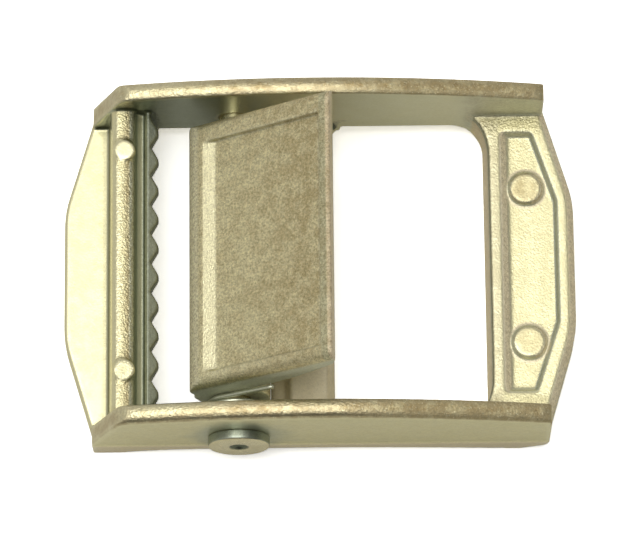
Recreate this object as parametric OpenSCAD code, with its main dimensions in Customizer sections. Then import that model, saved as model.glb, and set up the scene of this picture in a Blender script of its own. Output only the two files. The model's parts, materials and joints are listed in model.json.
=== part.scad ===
// Cam buckle for flat webbing: a die-cast frame with a toothed jaw bar, a sprung cam lever
// on a riveted cross pin, and a plain slot at the other end for a sewn loop of webbing.
// X runs along the webbing from the jaw end to the loop end, Y runs across it, and Z is up.
// The origin is on the surface that the buckle lies on, midway between the two side walls.

/* [Frame] */
// Clear width between the two side walls
inner_w = 27; // [24:0.5:32]
// Thickness of each side wall
wall_t = 1.65; // [1.4:0.05:1.9]
// Height of the side walls at the top of their arch
wall_h = 10.4; // [9.8:0.1:11.5]
// Radius of the arched top edge of the side walls
crown_r = 90; // [70:5:140]
// Radius of the shallow dome across the top of the side walls
dome_r = 1.4; // [1.2:0.1:2.4]
// Rounding of the outer top edge of the side walls
wall_round = 0.65; // [0.4:0.05:0.65]
// Distance from the origin to each end of the buckle
half_length = 21.85; // [20.8:0.05:23]
// Distance from the origin to the end of the side walls
wall_reach = 19.4; // [19:0.1:19.8]
// Height of the parting ledge along the foot of each wall
ledge_z = 2.3; // [1.4:0.1:2.5]
// How far the ledge stands out from the wall
ledge_out = 0.12; // [0.05:0.01:0.2]
// Height of the bevel along the inner foot of the walls, beside the two openings
inner_foot_h = 0.9; // [0.3:0.1:1.2]
// Rise of the foot of each wall at the middle
foot_rise = 1; // [0.4:0.1:1.1]

/* [Jaw end] */
// Thickness of the flat end plate
plate_t = 2.1; // [1.6:0.1:2.6]
// Left side of the rib that backs the jaw bar
rib_x = -18; // [-18.2:0.05:-17.8]
// Width of the rib
rib_w = 2.35; // [2.2:0.05:2.5]
// Height of the rib
rib_h = 6.8; // [6.6:0.1:7]
// Height of the groove floor where it meets the rib
groove_h = 5.85; // [5.6:0.05:5.9]
// Height of the toothed land at its left edge
land_h = 6.3; // [6.1:0.1:6.5]
// Width of the groove
groove_w = 1; // [0.8:0.05:1.1]
// Slope of the groove floor, the land and the tops of the teeth toward the throat
land_slope = 24; // [10:1:28]
// Number of teeth across the jaw
teeth = 10; // [8:2:10]
// Distance from one tooth to the next
tooth_pitch = 2.6; // [2.2:0.05:2.65]
// Depth of the teeth
tooth_depth = 0.66; // [0.4:0.02:0.7]
// Height of the teeth, above the recessed body of the jaw bar
tooth_h = 1.4; // [1:0.1:2]
// Width of the bevel around the outer edge of the end plate
plate_bevel = 0.2; // [0.1:0.05:0.3]
// Diameter of the two pips on the rib
pip_d = 1.9; // [1.4:0.1:2]
// Distance of each pip from the middle of the rib
pip_y = 9.8; // [8:0.1:11]

/* [Middle bar] */
// Left side of the foot of the middle bar
bar_x0 = -4.2; // [-4.4:0.1:-3.6]
// Right side of the middle bar
bar_x1 = 1.25; // [1:0.05:1.6]
// Height of the middle bar
bar_h = 3.2; // [2.8:0.1:3.6]

/* [Loop end] */
// Side of the loop slot that the webbing pulls on
slot_x1 = 14.2; // [13.4:0.1:14.4]
// Height of the loop bar
loop_h = 4.4; // [4:0.1:4.8]
// Width of the bevel around the outer edge of the loop bar
loop_bevel = 0.57; // [0.3:0.01:0.7]
// Radius of the corners of the loop slot at its foot
slot_r = 1.9; // [0.8:0.1:2.4]
// Depth of the six-sided recess in the loop bar
recess_depth = 0.55; // [0.2:0.05:0.8]
// Offset of the recess toward the back wall
recess_off = 0.3; // [-0.3:0.05:0.4]
// Diameter of the two ejector discs in the recess
disc_d = 2.85; // [2.2:0.05:3.1]
// Distance of each disc from the middle of the bar
disc_y = 6.9; // [5.5:0.1:7.2]

/* [Cam lever] */
// Free space between each side of the lever and the wall
lever_gap = 1.7; // [1.7:0.1:3]
// Slope of the lever plate above the horizontal, at rest
lever_slope = 36.5; // [34:0.5:38]
// Thickness of the lever plate
lever_t = 1.9; // [1.4:0.1:2.2]
// Distance from the pivot to the top face of the plate
lever_top = 4.77; // [4.6:0.01:4.9]
// Distance along the plate from the pivot to the thumb end
lever_reach = 13.6; // [12:0.1:14]
// Radius of the cam nose
nose_r = 2.6; // [2.3:0.1:2.8]
// Radius of the hub around the pin
hub_r = 3; // [2.6:0.1:3.1]
// Rounding of the plate's two long edges and of the corners of the nose
plate_round = 0.9; // [0.4:0.1:1]
// Width of the raised border along the back edge of the plate
border_back = 1.95; // [1.6:0.05:2.4]
// Width of the raised border along the front edge of the plate
border_front = 1.25; // [1.1:0.05:2.4]
// Depth of the panel inside the border
panel_depth = 0.4; // [0.1:0.05:0.5]
// Thickness of the web under each side of the plate
web_t = 1.3; // [1:0.1:1.8]

/* [Pin and spring] */
// Pivot axis, distance along the buckle
pivot_x = -7.2; // [-7.3:0.05:-7.1]
// Pivot axis, height above the surface
pivot_z = 4.4; // [4.3:0.05:4.6]
// Diameter of the cross pin
pin_d = 2.5; // [2:0.1:2.8]
// Diameter of the formed head
head_d = 5.25; // [4.6:0.05:5.6]
// Height of the formed head
head_h = 0.9; // [0.8:0.05:1.3]
// How far the formed head sits off the axis of the pin
head_off = 0.3; // [0:0.05:0.4]
// Diameter of the peened tail at the wall
peen_d = 4.4; // [3.6:0.1:4.6]
// Diameter of the flat end of the peened tail
peen_tip_d = 2.6; // [2:0.1:3]
// Wire diameter of the torsion spring
wire_d = 0.4; // [0.3:0.02:0.42]
// Radius of the spring coil to the middle of the wire
coil_r = 2.2; // [1.9:0.05:2.3]
// Number of turns in the coil
coil_turns = 2.45; // [2.4:0.01:2.5]

/* [Hidden] */
$fn = 64;

eps = 0.01;
inner_y = inner_w / 2;
outer_y = inner_y + wall_t;
pin_r = pin_d / 2;
// Press clearance in the frame and running clearance in the lever
frame_fit = 0.02;
lever_fit = 0.06;
// Small flats where two faces meet
edge_break = 0.15;
fine_break = 0.1;

// Arch of the side walls
crown_x = -0.6;
crown_z = wall_h - crown_r;
crown_fn = 360;

// Left end of the side walls: a short upright foot, a steep slope, and a round shoulder
slope_foot = [-wall_reach, 2.7];
slope_angle = 67.4;
slope_round = 2;
end_round = 0.65;
end_chamfer = [2.2, 1.1];
end_lean = 0.3;

// Underside of the walls: half length of the shallow arch, its steepness on either side, and
// the number of its steps
foot_reach = 17;
foot_left = 5;
foot_right = 1.4;
foot_steps = 16;

// Parting ledge: draft of the foot below it. Bevel of the inner foot: angle from the upright
foot_draft = 0.03;
foot_bevel = 35;

// Jaw bar: rib, groove, land and teeth from left to right
rib_x1 = rib_x + rib_w;
land_x = rib_x1 + groove_w;
land_w = 0.35;
land_rise = 0.2;
tooth_root = land_x + land_w;
tooth_tip_w = 0.55;
tooth_z = land_h - land_w * tan(land_slope) - tooth_h;
body_in = 0.3;
jaw_foot_z = 0.4;
jaw_fillet_r = 0.8;
jaw_fillet_h = 4.4;
pip_in = 1.5;
pip_rise = 0.18;

// Crest of the rib: its highest line, its rounding on the left, a shallow dome that falls to the
// right, and the rounding at the end of the dome. The left side leans from the end plate
crest_in = 1;
crest_round = 0.6;
crest_dome = 3.2;
crest_corner = 0.35;

// Outline of the end plate and of the loop bar: a straight end and two slanted sides
slant = 16.5;
corner_y = 5.9;
corner_r = 9;

// Points on an arc in the plane, from angle a0 to a1
function arc(c, r, a0, a1, n = 6) =
    [for (i = [0:n]) c + r * [cos(a0 + (a1 - a0) * i / n), sin(a0 + (a1 - a0) * i / n)]];

// Extrudes a side view, drawn in X and Z, across Y from y0 to y1
module across(y0, y1) {
    translate([0, y1, 0]) rotate([90, 0, 0]) linear_extrude(y1 - y0) children();
}

// Height of the underside of a wall at a distance x: an arch that is full on the left and
// falls early on the right
function foot_z(x) = foot_rise * max(0, 1 - pow(abs(x) / foot_reach, x < 0 ? foot_left : foot_right));

// Side view of a wall, with room above for the arched top to cut
module wall_side() {
    foot = [for (i = [0:foot_steps]) let (x = foot_reach * (2 * i / foot_steps - 1))
        [x, foot_z(x)]];
    polygon(concat(
        [[-wall_reach, 0]], foot,
        [[wall_reach - end_lean, end_chamfer[1]], [wall_reach, end_chamfer[0]]],
        arc([wall_reach - end_round, top_z(wall_reach) - end_round], end_round, 0, 90),
        [[wall_reach - end_round, wall_h + 1], [shoulder[0], wall_h + 1]],
        arc(shoulder, slope_round, shoulder_a, slope_angle + 90, 8),
        [slope_foot]));
}

// Centre of the round shoulder, which meets both the steep slope and the arched top
slope_dir = [cos(slope_angle), sin(slope_angle)];
slope_in = [sin(slope_angle), -cos(slope_angle)];
shoulder_0 = slope_foot + slope_round * slope_in - [crown_x, crown_z];
shoulder_s = -shoulder_0 * slope_dir
    + sqrt(pow(shoulder_0 * slope_dir, 2) - shoulder_0 * shoulder_0 + pow(crown_r - slope_round, 2));
shoulder = slope_foot + slope_round * slope_in + shoulder_s * slope_dir;
shoulder_a = atan2(shoulder[1] - crown_z, shoulder[0] - crown_x);

// Height of the arched top at a distance x
function top_z(x) = crown_z + sqrt(pow(crown_r, 2) - pow(x - crown_x, 2));

// Cross-section of a wall, radius outward and Y across: the dome runs into the outer rounding
// where both have the angle dome_a
dome_in = 0.72;
dome_a = asin((wall_t - wall_round - dome_in) / (dome_r - wall_round));
dome_steps = 8;
module wall_section() {
    round_step = (90 - dome_a) / dome_steps;
    polygon(concat(
        [[crown_r - wall_h - foot_rise, inner_y]],
        arc([crown_r - dome_r, inner_y + dome_in], dome_r, -asin(dome_in / dome_r), dome_a,
            dome_steps),
        arc([crown_r - dome_r + (dome_r - wall_round) * cos(dome_a), outer_y - wall_round],
            wall_round, dome_a + round_step, 90, dome_steps - 1),
        [[crown_r - wall_h - foot_rise, outer_y]]));
}

// One side wall, on the side of positive Y
module side_wall() {
    intersection() {
        across(inner_y - 1, outer_y + 1) wall_side();
        translate([crown_x, 0, crown_z]) rotate([-90, 0, 0])
            rotate_extrude($fn = crown_fn) wall_section();
    }
    // Parting ledge along the foot
    intersection() {
        across(inner_y - 1, outer_y + 1) intersection() {
            wall_side();
            translate([-wall_reach, 0]) square([2 * wall_reach, ledge_z]);
        }
        translate([-wall_reach, 0, 0]) rotate([90, 0, 90]) linear_extrude(2 * wall_reach)
            polygon([[outer_y - foot_draft, 0], [outer_y + ledge_out, ledge_z - foot_draft],
                     [outer_y - eps, ledge_z + ledge_out], [outer_y - wall_t / 2, ledge_z],
                     [outer_y - wall_t / 2, 0]]);
    }
}

// Bevel along the inner foot of a wall from x0 to x1, so that no edge rubs the webbing. Past x1
// it runs out to nothing over the length run_out, under the corner of an opening
module inner_foot(x0, x1, run_out) {
    run = inner_foot_h * tan(foot_bevel);
    high = foot_rise + inner_foot_h;
    intersection() {
        across(inner_y - slot_r, inner_y + run)
            polygon([[x0, -1], [x0, high], [x1, high], [x1 + run_out, 0], [x1 + run_out, -1]]);
        translate([x0, 0, 0]) rotate([90, 0, 90]) linear_extrude(x1 + run_out - x0)
            polygon([[0, -1], [0, high], [inner_y - eps, high], [inner_y + run, foot_rise],
                     [inner_y + run, -1]]);
    }
}

// Side of the loop slot that the webbing pulls on: height of its upright foot, lean above the
// foot, half axes of its corners at the top, and steps of a corner
slot_step_z = 1.7;
slot_lean = 0.45;
slot_corner = [2, 3.8];
slot_steps = 10;
slot_blank = 2.5;

// Recess corners, lean of its sides toward the slot, at its ends and outward, and its discs
recess_x0 = 15.62;
recess_x1 = 20.4;
recess_knee_x = 18.35;
recess_y = 11.65;
recess_side_y = 5.4;
recess_lean_in = 0.68;
recess_lean_end = 0.3;
recess_lean_out = 0.15;
disc_x = 17.78;
disc_sink = 0.12;
disc_root = 0.5;

// How far the end plate and the loop bar run into the jaw bar and the walls
end_lap = 0.6;

// Outline of either end of the buckle from x0 outward, drawn toward positive X and set in by
// inset: a straight end, two rounded corners and two slanted sides
module end_outline(x0, inset) {
    reach = half_length - inset;
    side_y = inner_y + end_lap;
    turn = corner_r * tan(slant / 2);
    c = [reach - corner_r, corner_y - inset * tan(slant / 2) - turn];
    slant_x = reach - (side_y - c[1] - turn) * tan(slant);
    upper = concat(arc(c, corner_r, 0, slant, 5), [[slant_x, side_y], [x0, side_y]]);
    polygon(concat(upper, [for (i = [len(upper) - 1:-1:0]) [upper[i][0], -upper[i][1]]]));
}

// Plate with that outline, t thick, with a bevel around its top edge
module bevelled_end(x0, t, bevel, fall) {
    hull() {
        linear_extrude(t - fall) end_outline(x0, 0);
        linear_extrude(t) end_outline(x0, bevel);
    }
}

// Flat plate outside the jaw
module end_plate() {
    mirror([1, 0, 0]) bevelled_end(-rib_x - end_lap, plate_t, plate_bevel, plate_bevel);
}

// One tooth of the jaw in plan, with a blunt tip
module tooth() {
    flank = tooth_depth - fine_break;
    shoulder_y = tooth_tip_w / 2 + fine_break;
    tip_y = tooth_tip_w / 2 - fine_break / 2;
    polygon([[-eps, -tooth_pitch / 2], [flank, -shoulder_y], [tooth_depth, -tip_y],
             [tooth_depth, tip_y], [flank, shoulder_y], [-eps, tooth_pitch / 2]]);
}

// Height on a line that falls toward the throat at the slope of the land, from z at x0
function fall_z(x, x0, z) = z - (x - x0) * tan(land_slope);

// Top of the rib from right to left, down to its foot
function rib_top() =
    let (x = rib_x + crest_in,
         dome_a = asin((rib_w - crest_corner - crest_in) / (crest_dome - crest_corner)),
         corner_z = rib_h - crest_dome + (crest_dome - crest_corner) * cos(dome_a),
         rise = rib_h - crest_round - plate_t,
         lean = atan2(crest_in, rise) - asin(crest_round / norm([crest_in, rise])))
    concat(arc([rib_x1 - crest_corner, corner_z], crest_corner, 0, 90 - dome_a),
           arc([x, rib_h - crest_dome], crest_dome, 90 - dome_a * 5 / 6, 90 - dome_a / 6, 4),
           arc([x, rib_h - crest_round], crest_round, 90, 180 - lean),
           [[rib_x, plate_t], [rib_x, 0]]);

// Jaw bar across the frame: domed rib, sloping groove, and the sloping land with the teeth
module jaw_bar() {
    groove_x1 = land_x - land_rise;
    body_x = tooth_root - body_in;
    across(-inner_y - eps, inner_y + eps) polygon(concat(
        [[body_x, jaw_foot_z], [body_x, tooth_z - body_in], [tooth_root, tooth_z],
         [tooth_root, fall_z(tooth_root, land_x, land_h)],
         [land_x + fine_break, fall_z(fine_break, 0, land_h)], [land_x, land_h - fine_break],
         [groove_x1, fall_z(groove_x1, rib_x1, groove_h)],
         [rib_x1 + fine_break, fall_z(fine_break, 0, groove_h)]],
        rib_top()));
    tooth_row();
    for (side = [-1, 1]) translate([rib_x + pip_in, side * pip_y, rib_h - 1])
        cylinder(d = pip_d, h = 1 + pip_rise);
}

// Row of teeth between the walls, cut to the slope of the land on top and drafted below
module tooth_row() {
    tip = tooth_root + tooth_depth;
    intersection() {
        translate([tooth_root, 0, 0]) linear_extrude(rib_h) for (i = [0:teeth - 1])
            translate([0, (i - (teeth - 1) / 2) * tooth_pitch]) tooth();
        across(-inner_y - eps, inner_y + eps)
            polygon([[tooth_root - 2 * eps, tooth_z], [tip, tooth_z + edge_break],
                     [tip, fall_z(tip, land_x, land_h) - fine_break],
                     [tip - fine_break, fall_z(tip - fine_break, land_x, land_h)],
                     [tooth_root - 2 * eps, fall_z(tooth_root, land_x, land_h)]]);
    }
}

// Middle bar: underside, low ledge on the left, raised part, and slope on the right
bar_z0 = 0.9;
bar_ledge_h = 1.9;
bar_step_x = -2.6;
bar_step_lean = 0.35;
bar_side_h = 1.5;
bar_slope_w = 0.75;
bar_knee = 0.22;
bar_fillet_r = 0.7;

// Middle bar under the lever
module middle_bar() {
    across(-inner_y - eps, inner_y + eps)
        polygon([[bar_x0, bar_z0], [bar_x1, bar_z0], [bar_x1, bar_side_h],
                 [bar_x1 - bar_slope_w + bar_knee, bar_h - edge_break],
                 [bar_x1 - bar_slope_w, bar_h], [bar_step_x + edge_break, bar_h],
                 [bar_step_x, bar_h - edge_break],
                 [bar_step_x - bar_step_lean, bar_ledge_h + edge_break],
                 [bar_x0 + edge_break, bar_ledge_h], [bar_x0, bar_ledge_h - edge_break]]);
}

// Concave corner fillet between a bar and a wall, r in plan and h high
module corner_fillet(r, h) {
    linear_extrude(h) difference() {
        translate([-eps, -eps]) square(r + eps);
        translate([r, r]) circle(r);
    }
}

// Loop slot in plan as far as x1, with two corners of the half axes c
module slot_end(x1, c) {
    side_y = inner_y + eps;
    upper = concat(
        [for (i = [0:slot_steps]) let (a = 90 * i / slot_steps)
            [x1 - c[0] + c[0] * cos(a), side_y - c[1] + c[1] * sin(a)]],
        [[bar_x1, side_y]]);
    polygon(concat(upper, [for (i = [len(upper) - 1:-1:0]) [upper[i][0], -upper[i][1]]]));
}

// Room of the loop slot: its right side is upright at the foot, then leans back, and the corners
// grow wider toward the top
module slot_room() {
    hull() {
        translate([0, 0, -1]) linear_extrude(1 + slot_step_z) slot_end(slot_x1, [slot_r, slot_r]);
        translate([0, 0, loop_h]) linear_extrude(eps)
            slot_end(slot_x1 + slot_lean, slot_corner);
    }
}

// Loop bar with its six-sided recess and two ejector discs
module loop_bar() {
    difference() {
        bevelled_end(slot_x1 - slot_blank, loop_h, loop_bevel, loop_bevel + fine_break);
        slot_room();
        translate([0, recess_off, 0]) hull() {
            translate([0, 0, loop_h - recess_depth]) linear_extrude(eps) recess_outline(1);
            translate([0, 0, loop_h]) linear_extrude(eps) recess_outline(0);
        }
    }
    for (side = [-1, 1])
        translate([disc_x, side * disc_y, loop_h - recess_depth - disc_root])
            cylinder(d = disc_d, h = disc_root + recess_depth - disc_sink);
}

// Outline of the recess in plan at a depth: 0 is the top and 1 is the floor. Each side moves in
// by its own lean, and the corners are where the moved sides cross
module recess_outline(depth) {
    slope = atan2(recess_x1 - recess_knee_x, recess_y - recess_side_y);
    outward = depth * recess_lean_out;
    y_end = recess_y - depth * recess_lean_end;
    knee_x = recess_knee_x + depth * recess_lean_end * tan(slope) - outward / cos(slope);
    y_side = recess_side_y - outward * tan(slope / 2);
    x0 = recess_x0 + depth * recess_lean_in;
    x1 = recess_x1 - outward;
    polygon([[x0, -y_end], [knee_x, -y_end], [x1, -y_side], [x1, y_side], [knee_x, y_end],
             [x0, y_end]]);
}

module frame() {
    color("palegoldenrod") difference() {
        union() {
            side_wall();
            mirror([0, 1, 0]) side_wall();
            end_plate();
            jaw_bar();
            middle_bar();
            loop_bar();
            for (side = [0, 1]) mirror([0, side, 0]) {
                translate([bar_x1 - eps, inner_y + eps, bar_z0]) mirror([0, 1, 0])
                    corner_fillet(bar_fillet_r, bar_side_h - bar_z0);
                translate([tooth_root - body_in - eps, inner_y + eps, foot_rise])
                    mirror([0, 1, 0]) corner_fillet(jaw_fillet_r, jaw_fillet_h);
            }
        }
        across(-outer_y - 1, outer_y + 1) translate([pivot_x, pivot_z])
            circle(pin_r + frame_fit);
        for (side = [0, 1]) mirror([0, side, 0]) {
            inner_foot(tooth_root - body_in + jaw_fillet_r, bar_x0, eps);
            inner_foot(bar_x1 + bar_fillet_r, slot_x1 - slot_blank, slot_blank - edge_break);
        }
    }
}

// Lever frame of axes: u runs up the plate from the pivot and w is square to it
module lever_axes() {
    translate([pivot_x, pivot_z]) rotate(lever_slope) children();
}

lever_w = inner_w - 2 * lever_gap;
lever_under = lever_top - lever_t;
thumb_break = 0.25;
thumb_lean = 0.4;
thumb_under = 1;
thumb_side = 0.7;
cove_r = 1;
ramp_u0 = 0.28;
ramp_u1 = 1.45;
thumb_border = 1.1;

// Middle of the cam nose, relative to the pivot, so that it just meets the top of the plate.
// Where a flat runs into a round it starts a hair inside it, so that the two cross cleanly
hair = 0.012;
nose_x0 = -11;
nose_dx = nose_x0 + nose_r - pivot_x;
nose_dz = (lever_top + hair - nose_r + nose_dx * sin(lever_slope)) / cos(lever_slope);
nose_u = nose_dx * cos(lever_slope) + nose_dz * sin(lever_slope);

// Direction square to the left flank, the common tangent of the nose and the hub
flank_a = atan2(nose_dz, nose_dx) + acos((hub_r - nose_r) / norm([nose_dx, nose_dz]));

// Height in the lever's axes where the flank ends and the corners of the nose begin
flank_top = lever_top - nose_r + nose_r * sin(flank_a - lever_slope) - 2 * fine_break;

// Middle of the cove between the hub and the underside of the plate, in the lever's axes
cove_w = lever_under - cove_r;
cove_u = sqrt(pow(hub_r - hair + cove_r, 2) - pow(cove_w, 2));

// Webs: inset from the side of the lever, and the parabola of their lower edge
web_inset = 0.1;
web_lap = 0.3;
web_u0 = hub_r - web_lap;
web_u1 = 12.6;
web_w0 = 1.4;
web_steps = 8;

// Side view of the full-width part: nose, hub and plate
module lever_side() {
    translate([pivot_x, pivot_z]) {
        circle(hub_r);
        translate([nose_dx, nose_dz]) circle(nose_r);
        polygon([[0, 0], [nose_dx, nose_dz],
                 [nose_dx, nose_dz] + (nose_r - hair) * [cos(flank_a), sin(flank_a)],
                 (hub_r - hair) * [cos(flank_a), sin(flank_a)]]);
    }
    lever_axes() polygon(concat(
        [[0, 0], [nose_u, lever_top], [lever_reach - thumb_break, lever_top],
         [lever_reach, lever_top - thumb_break],
         [lever_reach - thumb_lean, lever_under + thumb_side],
         [lever_reach - thumb_under, lever_under + thumb_break],
         [lever_reach - 2 * thumb_under, lever_under]],
        arc([cove_u, cove_w], cove_r, 90, 180 + atan2(cove_w, cove_u))));
}

// Side view of the webs that stiffen the two edges of the plate
module web_side() {
    lever_axes() polygon(concat(
        [[0, 0]],
        [for (i = [0:web_steps]) let (t = i / web_steps)
            [web_u0 + (web_u1 - web_u0) * t, web_w0 + (lever_under - web_w0 + eps) * t * t]],
        [[0, lever_under + eps]]));
}

// Outline of the lever seen from its end, Y and w, rounded along both top edges
module end_view() {
    half = lever_w / 2;
    upper = arc([half - plate_round, lever_top - plate_round], plate_round, 90, 0);
    low = -hub_r - 1;
    polygon(concat(upper, [[half, low], [-half, low]],
                   [for (i = [len(upper) - 1:-1:0]) [-upper[i][0], upper[i][1]]]));
}

// Outline of the lever seen square to the plate, u and Y, rounded at the nose
module plan_view() {
    half = lever_w / 2;
    left = nose_u - nose_r - eps;
    corner = arc([left + plate_round, half - plate_round], plate_round, 180, 90);
    polygon(concat(corner, [[lever_reach + 1, half], [lever_reach + 1, -half]],
                   [for (i = [len(corner) - 1:-1:0]) [corner[i][0], -corner[i][1]]]));
}

// Panel sunk into the top face, u and w, with a ramp on the side of the nose
module panel_side() {
    polygon([[ramp_u0, lever_top], [ramp_u1, lever_top - panel_depth],
             [lever_reach - thumb_border, lever_top - panel_depth],
             [lever_reach - thumb_border, lever_top + 1], [ramp_u0, lever_top + 1]]);
}

module cam_lever() {
    half = lever_w / 2;
    color("darkkhaki") difference() {
        intersection() {
            union() {
                across(-half, half) lever_side();
                for (side = [-1, 1]) translate([0, side * (half - web_t / 2 - web_inset), 0])
                    across(-web_t / 2, web_t / 2) web_side();
            }
            translate([pivot_x, 0, pivot_z]) rotate([0, -lever_slope, 0])
                translate([-2 * hub_r, 0, 0]) rotate([90, 0, 90])
                    linear_extrude(lever_reach + 3 * hub_r) end_view();
            translate([pivot_x, 0, pivot_z]) rotate([0, -lever_slope, 0]) {
                translate([0, 0, flank_top]) linear_extrude(2 * hub_r) plan_view();
                translate([-2 * hub_r, -half, -2 * hub_r])
                    cube([lever_reach + 3 * hub_r, lever_w, 2 * hub_r + flank_top]);
            }
        }
        across(-half + border_front, half - border_back) lever_axes() panel_side();
        across(-half - 1, half + 1) translate([pivot_x, pivot_z]) circle(pin_r + lever_fit);
    }
}

// Ends of the cross pin: chamfer of the head, skirt of the tail, and the head's dimple
head_chamfer = 0.2;
peen_skirt = 0.15;
peen_knee = 0.45;
dimple_r = 0.8;
dimple_depth = 0.35;

// Cross pin with a formed head at the front and a peened tail at the back
module pivot_rivet() {
    tail = outer_y + head_h;
    dimple_ball = (pow(dimple_r, 2) + pow(dimple_depth, 2)) / (2 * dimple_depth);
    color("lightgray") translate([pivot_x, 0, pivot_z]) rotate([90, 0, 0]) {
        rotate_extrude() polygon([
            [0, -tail], [peen_tip_d / 2 - fine_break, -tail],
            [peen_tip_d / 2, -tail + fine_break],
            [peen_d / 2 - peen_skirt, -outer_y - peen_knee],
            [peen_d / 2, -outer_y - peen_skirt], [peen_d / 2, -outer_y],
            [pin_r, -outer_y], [pin_r, outer_y + edge_break], [0, outer_y + edge_break]]);
        translate([head_off, 0, 0]) difference() {
            rotate_extrude() polygon([
                [0, outer_y], [head_d / 2, outer_y], [head_d / 2, tail - head_chamfer],
                [head_d / 2 - head_chamfer, tail], [0, tail]]);
            translate([0, 0, tail + dimple_ball - dimple_depth]) sphere(r = dimple_ball);
        }
    }
}

// Torsion spring around the pin, between the lever and the front wall
wire_r = wire_d / 2;
coil_side_gap = 0.12;
coil_y0 = -inner_y + coil_side_gap + wire_r;
coil_y1 = -lever_w / 2 - coil_side_gap - wire_r;
leg_length = 4.2;
tip_length = 5.4;
coil_steps = 30;
wire_sides = 8;

// The frame's leg leaves the coil so that it just clears the left edge of the middle bar
leg_clear = 0.03;
leg_edge = [bar_step_x + edge_break - pivot_x, bar_h - pivot_z];
leg_rise = asin((coil_r + wire_r + leg_clear) / norm(leg_edge)) + atan2(leg_edge[1], leg_edge[0]);
coil_start = leg_rise - 90;
coil_end = coil_start - 360 * coil_turns;

// Middle line of the wire: a leg on the middle bar, the coil, then a leg beside the lever
function coil_point(t) =
    let (angle = coil_start - t * 360 * coil_turns)
    [pivot_x + coil_r * cos(angle), coil_y0 + (coil_y1 - coil_y0) * t,
     pivot_z + coil_r * sin(angle)];
leg_foot = coil_point(0) + leg_length * [cos(leg_rise), 0, sin(leg_rise)];
leg_tip = coil_point(1) + tip_length * [sin(coil_end), 0, -cos(coil_end)];

function unit(v) = v / norm(v);

// Ring of points around the wire at p, square to the direction d
function ring(p, d) =
    let (n = unit(cross(d, [0, 1, 0.001])), b = cross(d, n))
    [for (k = [0:wire_sides - 1])
        p + wire_r * (cos(360 * k / wire_sides) * n + sin(360 * k / wire_sides) * b)];

module wire(path) {
    n = len(path);
    dirs = [for (i = [0:n - 1]) unit(path[min(i + 1, n - 1)] - path[max(i - 1, 0)])];
    points = [for (i = [0:n - 1]) each ring(path[i], dirs[i])];
    s = wire_sides;
    polyhedron(points, concat(
        [[for (k = [0:s - 1]) k]],
        [for (i = [0:n - 2], k = [0:s - 1])
            [i * s + k, (i + 1) * s + k, (i + 1) * s + (k + 1) % s, i * s + (k + 1) % s]],
        [[for (k = [0:s - 1]) (n - 1) * s + s - 1 - k]]));
}

module return_spring() {
    steps = ceil(coil_steps * coil_turns);
    color("gray") wire(concat(
        [leg_foot],
        [for (i = [0:steps]) coil_point(i / steps)],
        [leg_tip]));
}

frame();
cam_lever();
pivot_rivet();
return_spring();
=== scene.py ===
# %% [markdown]
# # A cam buckle in cast zinc
#
# The real object is a small strap buckle, 44 mm long: a die-cast frame, a die-cast lever that
# turns on a riveted pin, and a torsion spring hidden between the lever and one wall. This
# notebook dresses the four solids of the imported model. Sizes are written in millimetres, and
# reach Blender, which works in metres, times `MM`. Only the ceiling light is given in metres.

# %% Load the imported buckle
import json
import math

import bmesh
import bpy
import numpy as np
from mathutils import Matrix, Vector


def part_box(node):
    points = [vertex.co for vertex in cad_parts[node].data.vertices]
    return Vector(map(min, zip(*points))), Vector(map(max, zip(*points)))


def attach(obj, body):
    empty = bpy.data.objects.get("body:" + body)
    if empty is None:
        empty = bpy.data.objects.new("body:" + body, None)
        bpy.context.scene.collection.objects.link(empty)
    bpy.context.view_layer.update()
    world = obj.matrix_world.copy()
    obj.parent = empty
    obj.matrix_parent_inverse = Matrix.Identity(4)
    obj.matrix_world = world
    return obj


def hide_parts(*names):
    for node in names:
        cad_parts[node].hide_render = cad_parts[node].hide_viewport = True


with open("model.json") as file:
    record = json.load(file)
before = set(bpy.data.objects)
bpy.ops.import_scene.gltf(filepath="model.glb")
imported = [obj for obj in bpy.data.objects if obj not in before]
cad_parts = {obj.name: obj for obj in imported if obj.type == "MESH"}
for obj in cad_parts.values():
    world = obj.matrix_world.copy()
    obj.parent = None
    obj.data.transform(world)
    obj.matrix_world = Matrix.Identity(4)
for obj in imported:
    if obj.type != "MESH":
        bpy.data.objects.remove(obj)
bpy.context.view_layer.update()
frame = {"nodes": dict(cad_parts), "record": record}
MM = 0.001
print("solids:", sorted(frame["nodes"]))

# %% [markdown]
# ## The camera
#
# The photograph looks down on the buckle from the front, 72 degrees above the table, with a long
# lens, so that far and near edges stay almost parallel. A hand-held camera is never quite level,
# and a roll of a little over half a degree brings the edges onto those of the photograph. The
# camera's own axes are written as three vectors, which is easier to check than Euler angles.

# %% Place the camera
ELEVATION = math.radians(72)
ROLL = math.radians(0.62)
DISTANCE = 396.6 * MM
TARGET = Vector((0.075, 0.25, 0)) * MM
SENSOR_WIDTH = 36
FOCAL_LENGTH = 258.75
NEAREST_SEEN = 10 * MM

level_right = Vector((1, 0, 0))
back = Vector((0, -math.cos(ELEVATION), math.sin(ELEVATION)))
level_up = back.cross(level_right)
right = math.cos(ROLL) * level_right - math.sin(ROLL) * level_up
up = math.sin(ROLL) * level_right + math.cos(ROLL) * level_up

camera_data = bpy.data.cameras.new("camera")
camera_data.sensor_width = SENSOR_WIDTH
camera_data.lens = FOCAL_LENGTH
camera_data.clip_start = NEAREST_SEEN
camera = bpy.data.objects.new("camera", camera_data)
camera.matrix_world = Matrix.Translation(TARGET + back * DISTANCE) @ Matrix(
    (right, up, back)).transposed().to_4x4()
bpy.context.scene.collection.objects.link(camera)
bpy.context.scene.camera = camera
print("camera at", [round(v, 4) for v in camera.location])

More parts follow.
